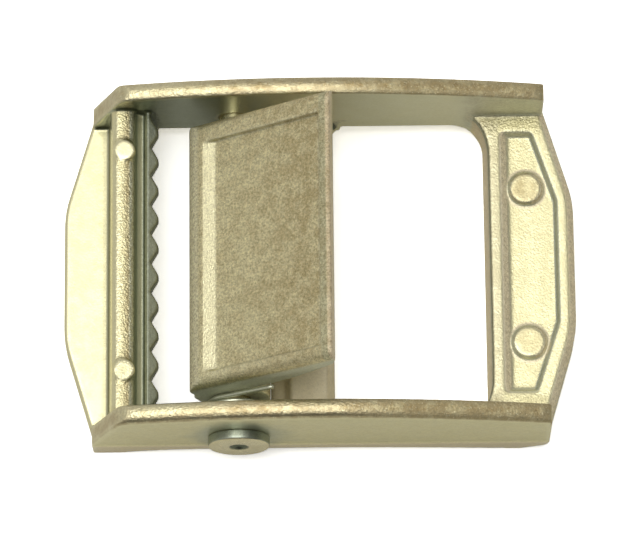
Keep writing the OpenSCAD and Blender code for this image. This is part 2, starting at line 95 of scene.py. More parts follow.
# %% [markdown]
# ## Surfaces from numbers
#
# Every new piece is a grid of points that a formula gives at once for the whole grid. One helper
# turns such a grid into a mesh: rows and columns become quads, and the last column can be joined
# to the first, which makes a tube. A row whose points all lie in one place closes its end.

# %% Turn a grid of points into a mesh
def grid_mesh(name, points, wrap_cols=False):
    """Quads over points[row, column]; wrap_cols joins the last column to the first."""
    rows, cols = points.shape[:2]
    r0, c0 = np.meshgrid(np.arange(rows - 1), np.arange(cols if wrap_cols else cols - 1),
                         indexing="ij")
    r1, c1 = r0 + 1, (c0 + 1) % cols
    quads = np.stack([r0 * cols + c0, r0 * cols + c1, r1 * cols + c1, r1 * cols + c0], -1)
    mesh = bpy.data.meshes.new(name)
    mesh.from_pydata(points.reshape(-1, 3).tolist(), [], quads.reshape(-1, 4).tolist())
    return mesh


def add_object(name, mesh):
    """Links a mesh to the scene as an object at the origin, shaded smooth."""
    mesh.polygons.foreach_set("use_smooth", np.ones(len(mesh.polygons), bool))
    piece = bpy.data.objects.new(name, mesh)
    bpy.context.scene.collection.objects.link(piece)
    return piece


# %% [markdown]
# ## Shader nodes as functions
#
# A material or a world is a graph of nodes, and a graph is hard to read as a list of links. Each
# of these helpers adds one node, feeds its inputs and returns its output, so that a formula for
# light or colour can be written as calls inside calls.

# %% Helpers for shader nodes
def add_node(tree, kind, **inputs):
    """Adds a shader node and sets its inputs by name; spaces are written as underscores."""
    node = tree.nodes.new(kind)
    for name, value in inputs.items():
        node.inputs[name.replace("_", " ")].default_value = value
    return node


def feed(tree, socket, value):
    """Sets a socket to a number or a colour of three numbers, or links it to an output."""
    if isinstance(value, tuple):
        socket.default_value = (*value, 1)
    elif isinstance(value, (int, float)):
        socket.default_value = value
    else:
        tree.links.new(value, socket)


def math_node(tree, operation, *values):
    """One Math node over numbers or sockets."""
    node = tree.nodes.new("ShaderNodeMath")
    node.operation = operation
    for socket, value in zip(node.inputs, values):
        feed(tree, socket, value)
    return node.outputs[0]


def mix_node(tree, factor, a, b, kind="FLOAT", blend="MIX"):
    """Mix of a, where factor is 0, and b, where it is 1, each a number or a socket; kind and
    blend are the node's own words for what it mixes and how."""
    node = tree.nodes.new("ShaderNodeMix")
    node.data_type = kind
    node.blend_type = blend
    for label, value in (("Factor", factor), ("A", a), ("B", b)):
        feed(tree, node.inputs[label], value)
    return node.outputs["Result"]


def tint(tree, factor, a, b, blend="MIX"):
    """Mix of two colours, each a socket or three numbers."""
    return mix_node(tree, factor, a, b, "RGBA", blend)


def ramp_node(tree, source, stops):
    """Grey ramp over source: stops are pairs of place and value."""
    ramp = tree.nodes.new("ShaderNodeValToRGB")
    while len(ramp.color_ramp.elements) < len(stops):
        ramp.color_ramp.elements.new(0.5)
    for element, (place, value) in zip(ramp.color_ramp.elements, stops):
        element.position = place
        element.color = (value, value, value, 1)
    tree.links.new(source, ramp.inputs[0])
    return ramp.outputs["Color"]


# %% [markdown]
# ## The studio
#
# Metal shows what it reflects, so the room matters as much as the finish. Flats that face up
# mirror the bright ceiling, the slope of the lever mirrors the paler left side of the room, and
# the rounded edges toward the viewer mirror the dark side where the camera stands. Upright walls
# mirror the table. The world is that room: a bright disc overhead with a soft rim, and walls that
# are dimmer toward the right and toward the front. The table is a sheet of paper, overexposed in
# the photograph, so the camera sees it pure white with a slight glow, while the metal mirrors an
# ordinary sheet.

# %% Build the table
FLOOR_HALF = 1500 * MM
FLOOR_Z = -0.03 * MM
FLOOR_MIRRORED = (0.76, 0.75, 0.69)
FLOOR_SEEN = (2.2, 2.2, 2.2)
FLOOR_GLOW = 0.25


def make_floor():
    """Flat sheet: points (x, y, FLOOR_Z) on a 2 by 2 grid."""
    y, x = np.meshgrid([-FLOOR_HALF, FLOOR_HALF], [-FLOOR_HALF, FLOOR_HALF], indexing="ij")
    floor = add_object("floor", grid_mesh("floor", np.stack([x, y, x * 0 + FLOOR_Z], -1)))
    material = bpy.data.materials.new("floor_paper")
    material.use_nodes = True
    tree = material.node_tree
    shader = tree.nodes["Principled BSDF"]
    shader.inputs["Roughness"].default_value = 0.9
    shader.inputs["Specular IOR Level"].default_value = 0.1
    shader.inputs["Emission Color"].default_value = (1, 1, 1, 1)
    by_camera = tree.nodes.new("ShaderNodeLightPath").outputs["Is Camera Ray"]
    sheet = tint(tree, by_camera, FLOOR_MIRRORED, FLOOR_SEEN)
    glow = math_node(tree, "MULTIPLY", by_camera, FLOOR_GLOW)
    tree.links.new(sheet, shader.inputs["Base Color"])
    tree.links.new(glow, shader.inputs["Emission Strength"])
    floor.data.materials.append(material)


make_floor()
print("table at height in mm:", round(FLOOR_Z / MM, 2))

# %% Build the room and the soft light
OVERHEAD = (-0.12, 0.0, 1.0)
DISC_STOPS = [(0.70, 0.0), (0.85, 0.4), (0.95, 1.0)]
DISC_LIGHT = 1.0
LEFT_TO_RIGHT = [(0.0, 0.56), (0.5, 0.5), (0.8, 0.26), (1.0, 0.2)]
FRONT_TO_BACK = [(0.1, 0.25), (0.35, 0.7), (0.5, 1.0)]
ROOM_SEEN = 0.85


def make_room():
    """World light by the direction of the ray (x, y, z): a disc where the ray lies near OVERHEAD,
    and walls whose light is a ramp over x times a ramp over y. The camera sees plain ROOM_SEEN."""
    world = bpy.data.worlds.new("room")
    bpy.context.scene.world = world
    world.use_nodes = True
    tree = world.node_tree
    ray = tree.nodes.new("ShaderNodeTexCoord").outputs["Generated"]
    toward = tree.nodes.new("ShaderNodeVectorMath")
    toward.operation = "DOT_PRODUCT"
    toward.inputs[1].default_value = Vector(OVERHEAD).normalized()
    tree.links.new(ray, toward.inputs[0])
    disc = ramp_node(tree, toward.outputs["Value"], DISC_STOPS)
    split = tree.nodes.new("ShaderNodeSeparateXYZ")
    tree.links.new(ray, split.inputs[0])
    to_right, to_back = [
        math_node(tree, "MULTIPLY_ADD", split.outputs[axis], 0.5, 0.5) for axis in "XY"]
    walls = math_node(tree, "MULTIPLY", ramp_node(tree, to_right, LEFT_TO_RIGHT),
                      ramp_node(tree, to_back, FRONT_TO_BACK))
    light = mix_node(tree, disc, walls, DISC_LIGHT)
    by_camera = tree.nodes.new("ShaderNodeLightPath").outputs["Is Camera Ray"]
    seen = mix_node(tree, by_camera, light, ROOM_SEEN)
    tree.links.new(seen, tree.nodes["Background"].inputs["Color"])


def soft_light(name, place, size, power):
    """Square area light at place, turned toward the middle of the buckle; metres and watts."""
    data = bpy.data.lights.new(name, "AREA")
    data.size = size
    data.energy = power
    light = bpy.data.objects.new(name, data)
    light.location = place
    light.rotation_euler = Vector(place).to_track_quat("Z", "Y").to_euler()
    bpy.context.scene.collection.objects.link(light)


make_room()
soft_light("ceiling", place=(-0.12, 0.0, 0.9), size=0.6, power=2.4)
bpy.context.scene.view_settings.view_transform = "Standard"
print("world and lights:", bpy.context.scene.world.name, [lamp.name for lamp in bpy.data.lights])

# %% [markdown]
# ## From sharp solids to castings
#
# A die casting has no knife edge: metal shrinks, tumbling rounds every corner, and where two
# forms meet there is a small fillet. Bevelling the solids edge by edge would need a hundred
# decisions. Instead a copy of each solid is rebuilt from small cubes, which welds all its forms
# into one skin, and then relaxed: every point moves toward the mean of its neighbours, so that
# ridges round off, hollows fill a little, and flats stay flat.

# %% Helpers for meshes
SAME_POINT = 0.0002 * MM


def merged_copy(node):
    """Copy of a CAD node's mesh in millimetres, with the doubles of its loose triangles merged."""
    mesh = frame["nodes"][node].data.copy()
    work = bmesh.new()
    work.from_mesh(mesh)
    bmesh.ops.remove_doubles(work, verts=work.verts, dist=SAME_POINT)
    bmesh.ops.scale(work, vec=(1 / MM, 1 / MM, 1 / MM), verts=work.verts)
    work.to_mesh(mesh)
    work.free()
    mesh.materials.clear()
    return mesh


def with_modifier(mesh, kind, **settings):
    """The mesh that one modifier makes of another."""
    piece = bpy.data.objects.new("work", mesh)
    bpy.context.scene.collection.objects.link(piece)
    modifier = piece.modifiers.new("work", kind)
    for name, value in settings.items():
        setattr(modifier, name, value)
    made = bpy.data.meshes.new_from_object(
        piece.evaluated_get(bpy.context.evaluated_depsgraph_get()))
    bpy.data.objects.remove(piece)
    return made


def points_of(mesh):
    """Vertex positions as an array of shape (n, 3)."""
    flat = np.empty(len(mesh.vertices) * 3)
    mesh.vertices.foreach_get("co", flat)
    return flat.reshape(-1, 3)


def normals_of(mesh):
    """Vertex normals as an array of shape (n, 3)."""
    flat = np.empty(len(mesh.vertices) * 3)
    mesh.vertices.foreach_get("normal", flat)
    return flat.reshape(-1, 3)


def store(mesh, name, values):
    """Writes one number per point into the mesh, for the materials to read by name."""
    mesh.attributes.new(name, "FLOAT", "POINT").data.foreach_set("value", values)


# %% Rebuild and relax the two castings
FRAME_CUBE = 0.13
LEVER_CUBE = 0.1
CALMING_ROUNDS = 60
EDGE_REACH = 0.12


def relaxed(mesh, points, rounds, pull=0.5):
    """Each round moves every point toward the mean of the points that it shares an edge with,
    by the share pull."""
    ends = np.empty(len(mesh.edges) * 2, int)
    mesh.edges.foreach_get("vertices", ends)
    a, b = ends.reshape(-1, 2).T
    count = np.bincount(ends, minlength=len(points))[:, None]
    for _ in range(rounds):
        total = np.stack([
            np.bincount(a, points[b, k], len(points)) + np.bincount(b, points[a, k], len(points))
            for k in range(3)], -1)
        points = points + pull * (total / count - points)
    return points


def casting(name, node, cube, rounds, budget):
    """Copy of a solid rebuilt from cubes, relaxed, and thinned to a budget of triangles. Its edge
    number is how far each point stands out of a much calmer skin, in parts of EDGE_REACH."""
    mesh = with_modifier(merged_copy(node), "REMESH", mode="VOXEL", voxel_size=cube)
    points = relaxed(mesh, points_of(mesh), rounds)
    mesh.vertices.foreach_set("co", points.ravel())
    mesh.update()
    calmed = relaxed(mesh, points, CALMING_ROUNDS)
    edge = ((points - calmed) * normals_of(mesh)).sum(1) / EDGE_REACH
    store(mesh, "edge", edge)
    full = 2 * len(mesh.polygons)
    mesh = with_modifier(mesh, "DECIMATE", ratio=min(1, budget / full))
    mesh.vertices.foreach_set("co", (points_of(mesh) * MM).ravel())
    mesh.update()
    print(f"{name}: {full} triangles thinned to {len(mesh.polygons)}, "
          f"edge from {edge.min():.2f} to {edge.max():.2f}",
          "kept" if "edge" in mesh.attributes else "lost")
    return add_object(name, mesh)


frame_casting = casting("frame_casting", "frame", FRAME_CUBE, rounds=3, budget=180000)
lever_casting = casting("lever_casting", "cam_lever", LEVER_CUBE, rounds=4, budget=120000)

# %% [markdown]
# ## Where the finish and the painted shade change
#
# Zinc passivation is never even. Faces that rub stay bright, the inner faces and the jaw are dull
# and greenish, partly as a duller finish and partly as painted shade, and the tops of the walls
# have turned brown toward the loop end. Each of these is a place on the buckle, so it is worked
# out from the position and the normal of every point and stored as a number from 0 to 1. The
# materials read these numbers by name: `shade` for the dull green, which is partly a duller
# finish and partly painted shade and painted dark reflections, `film` for a pale chalky film,
# `blush` for a pinkish one on raw edges, both also painted light on the middle bar under the
# lever, `brown` for the tarnish, which on the front wall's brow is a painted dark reflection,
# `grain` for the relief of the cast skin, `rough` for a blunter gloss, `wear` for how
# bright its ridges are, as wear and as a painted highlight, and `grime` for how dark its
# hollows are, which is painted shade.

# %% Helpers for the places
def soft(low, high, value):
    """Soft step t^2 (3 - 2t): 0 at low, 1 at high, where high may be the smaller number."""
    t = np.clip((value - low) / (high - low), 0, 1)
    return t * t * (3 - 2 * t)


def between(low, high, value, blur=0.15):
    """1 where value lies between low and high, with a soft edge of width blur outside both."""
    return soft(low - blur, low, value) * soft(high + blur, high, value)


def disc_at(x, y, centre, radius):
    """1 inside a circle around centre and its mirror image in y, fading over 0.15 mm."""
    return soft(radius + 0.1, radius - 0.05, np.hypot(x - centre[0], np.abs(y) - centre[1]))


def strongest(*masks):
    """The highest of several masks at each point."""
    return np.maximum.reduce(masks)


def store_all(piece, **masks):
    """Stores each mask, held between 0 and 1, and prints its mean."""
    for name, values in masks.items():
        store(piece.data, name, np.clip(values, 0, 1))
    print(piece.name, {name: round(float(values.mean()), 2) for name, values in masks.items()})


# %% Find the places on the frame
# All in millimetres: stretches along X from the jaw end to the loop end, round places as (x,
# distance from the middle line), the jaw's heights, and the shade around the pin's head.
RIB_FOOT = (-18.15, -17.2)
RIB = (-17.2, -15.75)
RIB_FLANK = (-16.0, -15.5)
GROOVE = (-15.75, -14.9)
LAND = (-14.95, -13.5)
BAR = (-4.3, 1.3)
RECESS = (15.9, 20.4)
RECESS_BANKS = (15.6, 20.8)
PIP = (-16.5, 9.8)
PIP_R = 0.95
DISC = (17.78, 6.9)
DISC_R = 1.42
RING_IN = 1.55
RING_OUT = 1.8
JAW_HEIGHTS = (4, 7)
PIVOT = np.array(frame["record"]["behaviour"]["joints"][0]["pos_m"]) / MM
HEAD_OFF = 0.3
HEAD_SHADOW_UP = 0.6
HEAD_SHADOW_OUT = 4.6
HEAD_SHADOW_IN = 2.9


def jaw_places(x, y, z, inside):
    """Stretch along X times range of heights: the groove and the land before the teeth, and the
    rib with its pips, crest, flank and foot."""
    groove = between(*GROOVE, x, 0.2) * between(*JAW_HEIGHTS, z, 0.2) * inside
    land = between(*LAND, x) * between(*JAW_HEIGHTS, z, 0.2) * inside
    pips = disc_at(x, y, PIP, PIP_R) * soft(6.5, 6.7, z)
    crest = between(*RIB, x, 0.2) * soft(5.9, 6.4, z) * inside * (1 - pips)
    flank = between(*RIB_FLANK, x, 0.2) * soft(4.5, 5, z) * inside * (1 - pips)
    rib_foot = between(*RIB_FOOT, x, 0.1) * soft(2.0, 2.2, z) * inside * (1 - crest)
    return groove, land, pips, crest, flank, rib_foot


def wall_places(x, y, z, nx, ny, nz):
    """Distance from the middle line times direction of the face: inner faces of the walls, tops,
    the front wall's outer brow, end slopes, outer faces with their foot, and a round shade about
    the pin's head."""
    side = np.abs(y)
    inward = between(13.3, 13.65, side) * soft(0.4, 0.8, -ny * np.sign(y))
    crown = soft(13.35, 13.6, side) * soft(6.5, 7.3, z)
    tops = crown * soft(0.1, 0.6, nz)
    brow = crown * soft(-0.05, -0.35, ny) * soft(-0.99, -0.95, ny) * (y < 0)
    end_slope = soft(13.4, 13.6, side) * soft(-0.5, -0.8, nx)
    outer = soft(14.9, 15.05, side) * soft(0.5, 0.9, ny * np.sign(y))
    foot = outer * soft(2.5, 2.2, z)
    # Painted shadow of the pin's head on the front wall's outer face.
    from_head = np.hypot(x - PIVOT[0] - HEAD_OFF, z - PIVOT[2] - HEAD_SHADOW_UP)
    head_shadow = outer * soft(HEAD_SHADOW_OUT, HEAD_SHADOW_IN, from_head) * soft(0, -1, y)
    return inward, tops, brow, end_slope, outer, foot, head_shadow


def loop_places(x, y, z, nx, nz, inside):
    """The loop bar, and on it the outer rim, the strip beside the slot, the recess with its steep
    banks, and the two discs with their rings; last the side and the upper edge of the slot."""
    side = np.abs(y)
    loop = soft(12.4, 13, x) * inside * soft(2.5, 3.5, z)
    rim = loop * soft(0.97, 0.8, nz) * soft(0.2, 0.4, nx)
    strip = loop * soft(15.8, 15.2, x)
    recess = between(*RECESS, x, 0.3) * soft(12.2, 11.8, side) * loop
    steep = between(*RECESS_BANKS, x, 0.1) * loop * soft(0.985, 0.9, nz) * soft(12.4, 12.0, side)
    left_bank = steep * soft(16.1, 15.95, x)
    discs = disc_at(x, y, DISC, DISC_R) * loop
    ring = disc_at(x, y, DISC, RING_OUT) * (1 - disc_at(x, y, DISC, RING_IN)) * loop
    slot_side = soft(12, 13, x) * soft(-0.4, -0.8, nx) * inside
    slot_edge = soft(12, 13, x) * soft(-0.25, -0.5, nx) * soft(3.6, 3.9, z) * inside
    return loop, rim, strip, recess, steep, left_bank, discs, ring, slot_side, slot_edge


# %% Mark the frame
def mark_frame(piece):
    """Each number of the finish and of the painted shade is the strongest of its weighted places.
    """
    x, y, z = (points_of(piece.data) / MM).T
    nx, ny, nz = normals_of(piece.data).T
    side = np.abs(y)
    inside = soft(13.6, 13.4, side)
    bar = between(*BAR, x) * soft(3.4, 3.2, z) * inside
    to_right = soft(0, 8, x)
    groove, land, pips, crest, flank, rib_foot = jaw_places(x, y, z, inside)
    inward, tops, brow, end_slope, outer, foot, head_shadow = wall_places(x, y, z, nx, ny, nz)
    (loop, rim, strip, recess, steep, left_bank, discs, ring, slot_side,
     slot_edge) = loop_places(x, y, z, nx, nz, inside)
    store_all(
        piece,
        # Painted shade and painted dark reflections: inner walls toward the jaw, the jaw's land
        # and flank, the slot's upper edge, the rib's foot, the front wall's inner top edge and the
        # shadow of the pin's head; a plain duller green on the end slopes and the strip.
        shade=strongest(
            inward * 0.95 * soft(-2, -9, x), 0.9 * land, slot_edge, 0.7 * flank,
            0.5 * rib_foot * soft(6, 5, z), 0.3 * end_slope, 0.7 * head_shadow,
            0.5 * tops * soft(0.3, 0.6, ny) * (y < 0), 0.3 * strip),
        # On the middle bar under the lever, the pale film here and the pinkish film below also
        # stand for painted light.
        film=strongest(
            inward * (0.15 * soft(-15, -10, x) + 0.25 * soft(-9, -5, x)
                      + 0.35 * soft(11, 14, x)),
            0.3 * bar, 0.15 * groove, 0.1 * outer, 0.5 * steep),
        blush=strongest(
            0.8 * rim, 0.9 * slot_side * (1 - slot_edge), 0.7 * foot, 0.3 * end_slope,
            0.15 * strip, 0.8 * left_bank, 0.7 * ring, 0.75 * bar,
            0.3 * tops * (y > 0) * soft(0, 0.4, ny)),
        # On the front wall's brow, brown is a painted dark reflection; elsewhere it is tarnish.
        brown=strongest(
            tops * (0.45 + 0.45 * soft(-12, -5, x) + 0.1 * to_right),
            brow * (0.8 + 0.2 * to_right), 0.6 * crest * soft(-16.9, -15.9, x) * (1 - flank),
            0.45 * end_slope, 0.15 * strip, 0.2 * discs * soft(-4, 4, y) + 0.22 * discs),
        grain=strongest(
            0.15 + 0 * x, crest, tops * (0.8 + 0.2 * to_right), rim,
            0.4 * loop * (1 - discs), 0.3 * discs, 0.9 * loop * soft(10.8, 12.2, side),
            0.3 * bar, 0.25 * outer, 0.55 * land, 0.5 * slot_side,
            pips * (0.2 + 0.5 * soft(0, -5, y))),
        rough=strongest(
            0.3 * (1 - strongest(tops, crest)), 0.9 * tops * to_right, 0.8 * rim,
            0.7 * slot_side, 0.8 * bar, 0.6 * land),
        wear=(1 - 0.9 * strongest(groove, land, bar)) * (0.4 + 0.6 * (1 - loop)),
        # Painted shade in the hollows of the frame.
        grime=strongest(
            0.3 * (1 - loop) * (1 - bar), 0.9 * land,
            0.2 * loop * (1 - recess), 0.12 * recess, inward * soft(13, 11, x)))


mark_frame(frame_casting)

# %% Mark the lever
# The plate rises at LEVER_SLOPE degrees. u runs up the plate from the pivot, w is square to it,
# and the ranges are in millimetres.
LEVER_SLOPE = 36.5
RAMP_U = (0.3, 1.5)
RAMP_Y = (-10.5, 9.8)
PANEL_U = (1.8, 12.8)
PANEL_Y = (-10.8, 10.2)
THUMB_LINE_U = (12.2, 12.4)
THUMB_LINE_Y = (-10.6, 10.2)


def mark_lever(piece):
    """Masks over u, w and y: the face of the plate, the ramp at its foot, the nose, the step
    around the sunk panel, and at the thumb end a thin line, the border and the rounded end."""
    slope = math.radians(LEVER_SLOPE)
    x, y, z = (points_of(piece.data) / MM - PIVOT).T
    nx, ny, nz = normals_of(piece.data).T
    u = x * math.cos(slope) + z * math.sin(slope)
    w = z * math.cos(slope) - x * math.sin(slope)
    up = nz * math.cos(slope) - nx * math.sin(slope)
    face = soft(0.0, 0.4, up) * soft(3.1, 3.4, w)
    front_side = (1 - face) * soft(-0.2, -0.6, ny)
    front_corner = soft(-6, -10.5, y) * soft(3.5, 1.5, u) * face
    ramp = between(*RAMP_U, u) * between(*RAMP_Y, y, 0.2) * soft(0.99, 0.97, up) * face
    nose = soft(0, -0.5, u) * soft(-0.3, 0.1, nz) * soft(0.8, 0.5, np.abs(ny))
    panel = between(*PANEL_Y, y, 0.2) * between(*PANEL_U, u, 0.2) * face
    step = panel * soft(0.98, 0.9, up)
    thumb = soft(13.2, 13.35, u) * soft(1.5, 1.8, w)
    thumb_border = soft(12.5, 12.7, u) * face * (1 - thumb)
    thumb_line = between(*THUMB_LINE_U, u, 0.12) * between(*THUMB_LINE_Y, y) * face
    store_all(
        piece,
        # Painted shade under the lever and on its sides; a duller green on the border before the
        # thumb end.
        shade=strongest(0.5 * front_side, 0.3 * (1 - face), 0.8 * soft(-0.3, -0.8, nz),
                        0.4 * thumb_border),
        film=strongest(0.4 * nose, 0.7 * front_side, 0.4 * step, 0.35 * thumb_line,
                       0.1 * thumb_border),
        blush=strongest(0.9 * thumb, 0.3 * nose),
        brown=face * (0.28 + 0.2 * soft(2, 11, u)) * (1 - 0.7 * front_corner) * (1 - ramp)
        * (1 - nose) * (1 - 0.5 * thumb_border),
        grain=0.35 + 0.65 * face - 0.3 * ramp,
        rough=strongest(0.3 * (1 - ramp), 0.7 * nose, thumb_border, 0.6 * front_side),
        wear=(0.2 + 0.5 * soft(11, 10, u)) * soft(12.8, 12.4, u),
        # Painted shade in the hollows, stronger in the step around the sunk panel.
        grime=0.05 + 0.12 * step)


mark_lever(lever_casting)

# %% [markdown]
# ## The riveted pin
#
# The pin is a turned part, so it is a profile carried around an axis. Its head was formed by a
# press, which left a rolled rim and a small dimple, and its tail was hammered over the wall. The
# profile is a list of corners, each with its own rounding: a corner becomes a short parabola
# between two points on its two sides, which needs only a single formula for all of them.

# %% Turn a profile around the pin's axis
AROUND = 144
POLE_POINT = 0.0005 * MM
NO_LENGTH = 1e-9


def rounded(corners, steps=5):
    """Each corner c = (r, y), with points a and b at distance size on its two sides, becomes the
    parabola a(1-t)^2 + 2ct(1-t) + bt^2."""
    corners = np.array(corners, float)
    place, size = corners[:, :2], corners[:, 2:]
    start, end = [
        place + way / np.maximum(np.linalg.norm(way, axis=1, keepdims=True), NO_LENGTH) * size
        for way in (np.roll(place, 1, axis=0) - place, np.roll(place, -1, axis=0) - place)]
    t = np.linspace(0, 1, steps)[None, :, None]
    curve = (start[:, None] * (1 - t) ** 2 + 2 * place[:, None] * t * (1 - t)
             + end[:, None] * t ** 2)
    return curve.reshape(-1, 2)


def densified(profile, longest):
    """The same profile with points added, so that no step is longer than longest."""
    step = np.linalg.norm(np.diff(profile, axis=0), axis=1)
    travel = np.concatenate([[0], np.cumsum(step)])
    even = np.arange(0, travel[-1], longest)
    places = np.unique(np.concatenate([travel, even]))
    return np.stack([np.interp(places, travel, profile[:, k]) for k in range(2)], -1)


def closed_mesh(mesh):
    """Merges the points of each pole and turns all the faces outwards."""
    work = bmesh.new()
    work.from_mesh(mesh)
    bmesh.ops.remove_doubles(work, verts=work.verts, dist=POLE_POINT)
    bmesh.ops.recalc_face_normals(work, faces=work.faces)
    work.to_mesh(mesh)
    work.free()
    return mesh


def turned(name, profile, shift):
    """Points (x, z) = pivot + r (cos a, sin a) at each (r, y) of the profile, for angles a all
    the way around; shift moves each ring along X."""
    angle = np.linspace(0, 2 * math.pi, AROUND, endpoint=False)
    r, y = profile.T
    points = np.stack([PIVOT[0] + shift[:, None] + np.outer(r, np.cos(angle)),
                       np.repeat(y[:, None], AROUND, 1),
                       PIVOT[2] + np.outer(r, np.sin(angle))], -1)
    return add_object(name, closed_mesh(grid_mesh(name, points * MM, wrap_cols=True)))


# %% Make the pin
HEAD_R = 2.61
SHANK_R = 1.25
TAIL_R = 2.19
TIP_R = 1.3
HEAD_HEIGHT = 0.9
TAIL_HEIGHT = 0.9
SLACK = 0.02
HEAD_CUT = 0.015
HEAD_BEFORE = -14
LONGEST_STEP = 0.25


def make_rivet():
    """Head at negative Y with dimple and rolled rim, straight shank, and a domed tail. Corners
    are (radius, y, rounding), and the head sits HEAD_OFF toward the loop."""
    low, high = [v[1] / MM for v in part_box("pivot_rivet")]
    head_in, tail_in = low + HEAD_HEIGHT, high - TAIL_HEIGHT
    dimple = [(0, low + 0.4, 0), (0.45, low + 0.36, 0.16), (0.82, low + 0.03, 0.12)]
    head = [(1.6, low + 0.01, 0.3), (HEAD_R - 0.02, low + 0.06, 0.2),
            (HEAD_R, head_in - SLACK, 0.05)]
    shank = [(SHANK_R, head_in - SLACK, 0.02), (SHANK_R, tail_in + SLACK, 0.02)]
    tail = [(TAIL_R, tail_in + SLACK, 0.05), (TAIL_R - 0.03, tail_in + 0.25, 0.12),
            (TIP_R + 0.15, high - 0.12, 0.35), (TIP_R * 0.5, high - 0.01, 0.3),
            (0, high - 0.01, 0)]
    profile = densified(rounded(dimple + head + shank + tail), LONGEST_STEP)
    on_head = profile[:, 1] < head_in - HEAD_CUT
    return turned("rivet_pin", profile, HEAD_OFF * on_head)


def mark_rivet(piece):
    """Masks of the pin: the sides of the head carry a painted dark reflection and the dimple
    painted shade; the rim and the face stay clean.
    """
    x, y, z = (points_of(piece.data) / MM - PIVOT).T
    ny = normals_of(piece.data)[:, 1]
    radius = np.hypot(x - HEAD_OFF * (y < HEAD_BEFORE), z)
    side = soft(0.75, 0.3, np.abs(ny)) * soft(2, 2.3, radius)
    dimple = soft(1.0, 0.7, radius) * (y < 0)
    # Painted dark reflection on the sides of the head, and painted shade in the dimple.
    store_all(piece, shade=side, film=0 * x, blush=0 * x, brown=0.2 * (1 - side),
              grain=0.2 + 0.4 * side, rough=0 * x, wear=0 * x + 0.5, grime=dimple)
    store(piece.data, "edge", -0.8 * dimple)


rivet = make_rivet()
mark_rivet(rivet)
print("rivet faces:", len(rivet.data.polygons))

# %% [markdown]
# ## The torsion spring
#
# The spring is one wire: a leg that rests on the middle bar, nearly two and a half turns around
# the pin, and a leg that pushes the lever. A tube is swept along that path. At each point the
# wire's direction and the pin's axis give two square vectors, and a circle is drawn in their
# plane. The axis is tipped by a hair, so that it never lies along the wire.

# %% Sweep the wire of the spring
WIRE_R = 0.2
WIRE_SLACK = 0.003
COIL_R = 2.2
COIL_TURNS = 2.45
COIL_START = math.radians(-74.45)
COIL_POINTS = 300
FOOT_LEG = 4.15
TIP_LEG = 5.35
LEG_POINTS = 12
TIPPED_AXIS = (0, 1, 0.001)


def spring_path():
    """Straight leg, helix of COIL_TURNS around the pin with a point every 3 degrees, straight
    leg; each leg leaves the coil along its tangent."""
    low, high = [v[1] / MM + side * WIRE_R for v, side in zip(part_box("return_spring"), (1, -1))]
    t = np.linspace(0, 1, COIL_POINTS)
    angle = COIL_START - 2 * math.pi * COIL_TURNS * t
    coil = np.stack([PIVOT[0] + COIL_R * np.cos(angle), low + (high - low) * t,
                     PIVOT[2] + COIL_R * np.sin(angle)], -1)
    out = np.linspace(1, 0, LEG_POINTS, endpoint=False)[:, None]
    foot = coil[0] + FOOT_LEG * out * np.array([-math.sin(angle[0]), 0, math.cos(angle[0])])
    tip = coil[-1] + TIP_LEG * out[::-1] * np.array(
        [math.sin(angle[-1]), 0, -math.cos(angle[-1])])
    return np.concatenate([foot, coil, tip])


def swept(name, path, radius, sides=14):
    """Circle of radius around each point of path, square to the path's direction."""
    along = np.gradient(path, axis=0)
    along /= np.linalg.norm(along, axis=1, keepdims=True)
    first = np.cross(along, TIPPED_AXIS)
    first /= np.linalg.norm(first, axis=1, keepdims=True)
    second = np.cross(along, first)
    angle = np.linspace(0, 2 * math.pi, sides, endpoint=False)
    rings = path[:, None] + radius * (np.cos(angle)[None, :, None] * first[:, None]
                                      + np.sin(angle)[None, :, None] * second[:, None])
    caps = [np.repeat(path[end][None, None], sides, 1) for end in (0, -1)]
    rings = np.concatenate([caps[0], rings, caps[1]])
    return add_object(name, closed_mesh(grid_mesh(name, rings * MM, wrap_cols=True)))


spring = swept("spring_coil", spring_path(), WIRE_R - WIRE_SLACK)
zero = 0 * points_of(spring.data)[:, 0]
store_all(spring, edge=zero, shade=zero + 0.15, film=zero + 0.3, blush=zero, brown=zero,
          grain=zero + 0.5, rough=zero + 0.2, wear=zero, grime=zero)
print("spring box in mm:", [round(v / MM, 2) for v in spring.dimensions])

# %% [markdown]
# ## Node groups that every metal shares
#
# A shader node group is like a function: it is built once, has named inputs and outputs, and each
# material calls it with its own values. `cast_skin` gives the relief of a casting that took on
# the skin of its mould: fine grain, small facets, and larger blotches for the colour.
# `edge_sheen_and_hollow_shade` turns the stored edge number into a ridge mask, for worn edges
# that also carry a painted highlight, and a hollow mask, for painted shade, both broken up by
# noise so that no edge is even.

# %% Helpers for node groups
def new_group(name, inputs, outputs):
    """Group with inputs (name, default) and outputs, all floats but Position, which is a vector.
    Returns the group and its two end nodes."""
    group = bpy.data.node_groups.new(name, "ShaderNodeTree")
    for label, default in inputs:
        kind = "NodeSocketVector" if label == "Position" else "NodeSocketFloat"
        socket = group.interface.new_socket(label, in_out="INPUT", socket_type=kind)
        if default is not None:
            socket.default_value = default
    for label in outputs:
        group.interface.new_socket(label, in_out="OUTPUT", socket_type="NodeSocketFloat")
    return group, group.nodes.new("NodeGroupInput"), group.nodes.new("NodeGroupOutput")


def noise(tree, position, scale, detail, rough):
    """Noise value from 0 to 1 over a position in mm; scale is lumps per mm."""
    node = add_node(tree, "ShaderNodeTexNoise", Detail=detail, Roughness=rough)
    feed(tree, node.inputs["Scale"], scale)
    tree.links.new(position, node.inputs["Vector"])
    return node.outputs["Fac"]


def cell_distance(tree, position, scale):
    """Distance to the nearest middle of uneven cells, in cells; scale is cells per mm."""
    node = tree.nodes.new("ShaderNodeTexVoronoi")
    feed(tree, node.inputs["Scale"], scale)
    tree.links.new(position, node.inputs["Vector"])
    return node.outputs["Distance"]


